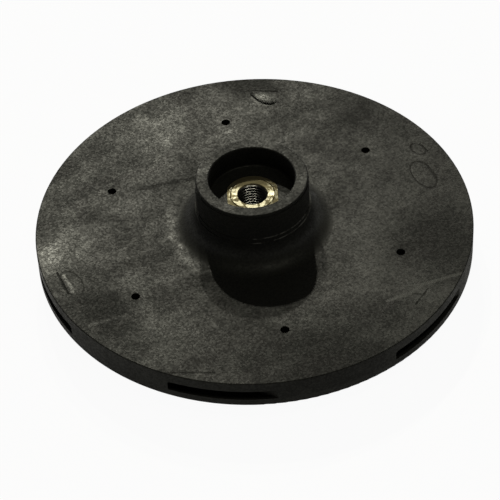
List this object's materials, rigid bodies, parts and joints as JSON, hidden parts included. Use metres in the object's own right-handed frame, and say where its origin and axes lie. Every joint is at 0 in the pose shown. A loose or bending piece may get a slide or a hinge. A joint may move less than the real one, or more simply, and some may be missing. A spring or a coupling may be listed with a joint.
{
  "type": "pump impeller",
  "caption": "Closed centrifugal pump impeller with curved vanes between two round plastic shrouds, a hub with a seal recess and a threaded brass insert for the shaft.",
  "frame": {"origin": "on the shaft's axis, in the plane of the suction eye's collar, on which the impeller stands", "axes": "+Z along the shaft's axis and out of the hub, towards the motor; +X across the insert's flats"},
  "size_m": [0.162, 0.162, 0.0409],
  "materials": {
    "black_plastic": "moulded glass-filled plastic, cloudy flow marks, dull satin",
    "brass": "bright machined"
  },
  "bodies": {
    "root": {"back_shroud": "black_plastic", "front_shroud": "black_plastic", "threaded_insert": "brass"}
  },
  "joints": []
}
